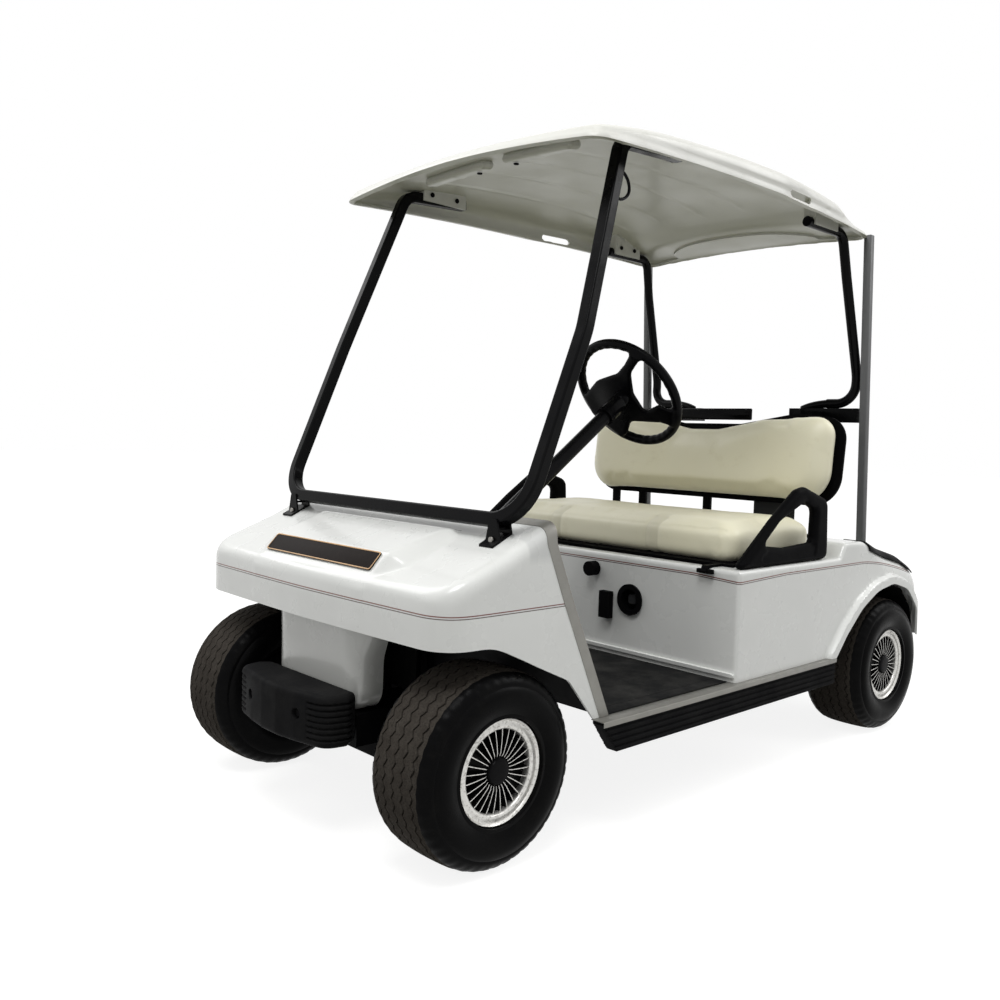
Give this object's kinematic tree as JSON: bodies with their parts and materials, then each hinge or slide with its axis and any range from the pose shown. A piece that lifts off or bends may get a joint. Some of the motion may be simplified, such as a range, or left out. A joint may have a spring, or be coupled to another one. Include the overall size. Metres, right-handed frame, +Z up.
{
  "type": "two-seat golf cart",
  "caption": "Electric golf cart with a canopy on a tube frame, bench with armrests, steered front wheels, moulded cowl and open bag well at the back.",
  "frame": {"origin": "on the ground, under the middle of the overall length and width", "axes": "+Z up, -Y towards the front, +X towards the driver's side"},
  "size_m": [1.1896, 2.2786, 1.7403],
  "materials": {
    "frame_steel": "satin black paint",
    "spring_steel": "satin black paint",
    "damper_paint": "gloss black paint",
    "body_white": "gloss white",
    "canopy_cream": "satin off-white",
    "trim_aluminium": "brushed",
    "black_plastic": "fine grain",
    "black_paint": "gloss black",
    "post_grey": "satin grey",
    "plate_black": "satin with a thin gold border",
    "bumper_rubber": "ribbed",
    "mat_rubber": "ribbed",
    "floor_metal": "dull",
    "seat_vinyl": "soft cream vinyl",
    "seat_board": "matte",
    "battery_case": "matte",
    "motor_iron": "painted",
    "tyre_rubber": "worn tread",
    "wheel_silver": "silver with black recesses"
  },
  "bodies": {
    "chassis": {"chassis_frame": "frame_steel", "front_axle": "frame_steel", "rear_axle": "frame_steel", "battery_tray": "frame_steel", "front_leaf_spring": "spring_steel", "rear_leaf_springs": "spring_steel", "steering_gear": "spring_steel", "front_shocks": "damper_paint", "front_cowl": "body_white", "front_skirt": "body_white", "rear_body": "body_white", "canopy": "canopy_cream", "canopy_brackets": "canopy_cream", "cowl_edge_trim": "trim_aluminium", "sill_trims": "trim_aluminium", "dash_panel": "black_plastic", "wheel_liners": "black_plastic", "bag_deck": "black_plastic", "scuff_guards": "black_plastic", "seat_back_frame": "black_plastic", "armrest_left": "black_plastic", "armrest_right": "black_plastic", "charge_socket": "black_plastic", "direction_knob": "black_plastic", "switch_box": "black_plastic", "seat_hinges": "black_plastic", "windscreen_frame": "black_paint", "rear_strut_left": "black_paint", "rear_strut_right": "black_paint", "bag_rack": "black_paint", "steering_column": "black_paint", "pedals": "black_paint", "rear_posts": "post_grey", "name_plate": "plate_black", "front_bumper": "bumper_rubber", "rear_bumper": "bumper_rubber", "sills": "bumper_rubber", "floor_mat": "mat_rubber", "floor_pan": "floor_metal", "seat_back_pad": "seat_vinyl", "battery_pack": "battery_case", "drive_motor": "motor_iron"},
    "knuckle_left_body": {"knuckle_left": "spring_steel"},
    "knuckle_right_body": {"knuckle_right": "spring_steel"},
    "tie_rod_body": {"tie_rod": "spring_steel"},
    "steering_wheel_body": {"steering_wheel": "black_plastic"},
    "seat_body": {"seat_cushion": "seat_vinyl", "seat_board": "seat_board"},
    "wheel_front_left": {"tyre_front_left": "tyre_rubber", "rim_front_left": "wheel_silver"},
    "wheel_front_right": {"tyre_front_right": "tyre_rubber", "rim_front_right": "wheel_silver"},
    "wheel_rear_left": {"tyre_rear_left": "tyre_rubber", "rim_rear_left": "wheel_silver"},
    "wheel_rear_right": {"tyre_rear_right": "tyre_rubber", "rim_rear_right": "wheel_silver"}
  },
  "joints": [
    {"name": "steer_left", "type": "hinge", "parent": "chassis", "child": "knuckle_left_body", "pos_m": [0.3, -0.87, 0.218], "axis": [0, 0, 1], "range_deg": [-28, 28]},
    {"name": "steer_right", "type": "hinge", "parent": "chassis", "child": "knuckle_right_body", "pos_m": [-0.3, -0.87, 0.218], "axis": [0, 0, 1], "range_deg": [-28, 28]},
    {"name": "tie_rod_pivot", "type": "hinge", "parent": "knuckle_left_body", "child": "tie_rod_body", "pos_m": [0.3, -0.76, 0.163], "axis": [0, 0, 1], "range_deg": [-28, 28]},
    {"name": "steering_wheel_turn", "type": "hinge", "parent": "chassis", "child": "steering_wheel_body", "pos_m": [0.23, -0.153, 1.065], "axis": [0, 0.809, 0.5878], "range_deg": [-308, 308]},
    {"name": "seat_tilt", "type": "hinge", "parent": "chassis", "child": "seat_body", "pos_m": [0, -0.088, 0.584], "axis": [1, 0, 0], "range_deg": [0, 55]},
    {"name": "spin_front_left", "type": "hinge", "parent": "knuckle_left_body", "child": "wheel_front_left", "pos_m": [0.438, -0.87, 0.218], "axis": [1, 0, 0], "continuous": true},
    {"name": "spin_front_right", "type": "hinge", "parent": "knuckle_right_body", "child": "wheel_front_right", "pos_m": [-0.438, -0.87, 0.218], "axis": [1, 0, 0], "continuous": true},
    {"name": "spin_rear_left", "type": "hinge", "parent": "chassis", "child": "wheel_rear_left", "pos_m": [0.489, 0.794, 0.218], "axis": [1, 0, 0], "continuous": true},
    {"name": "spin_rear_right", "type": "hinge", "parent": "chassis", "child": "wheel_rear_right", "pos_m": [-0.489, 0.794, 0.218], "axis": [1, 0, 0], "continuous": true}
  ],
  "couplings": [
    {"joint": "steer_right", "follows": "steer_left", "ratio": 1},
    {"joint": "tie_rod_pivot", "follows": "steer_left", "ratio": -1},
    {"joint": "steering_wheel_turn", "follows": "steer_left", "ratio": 11}
  ]
}
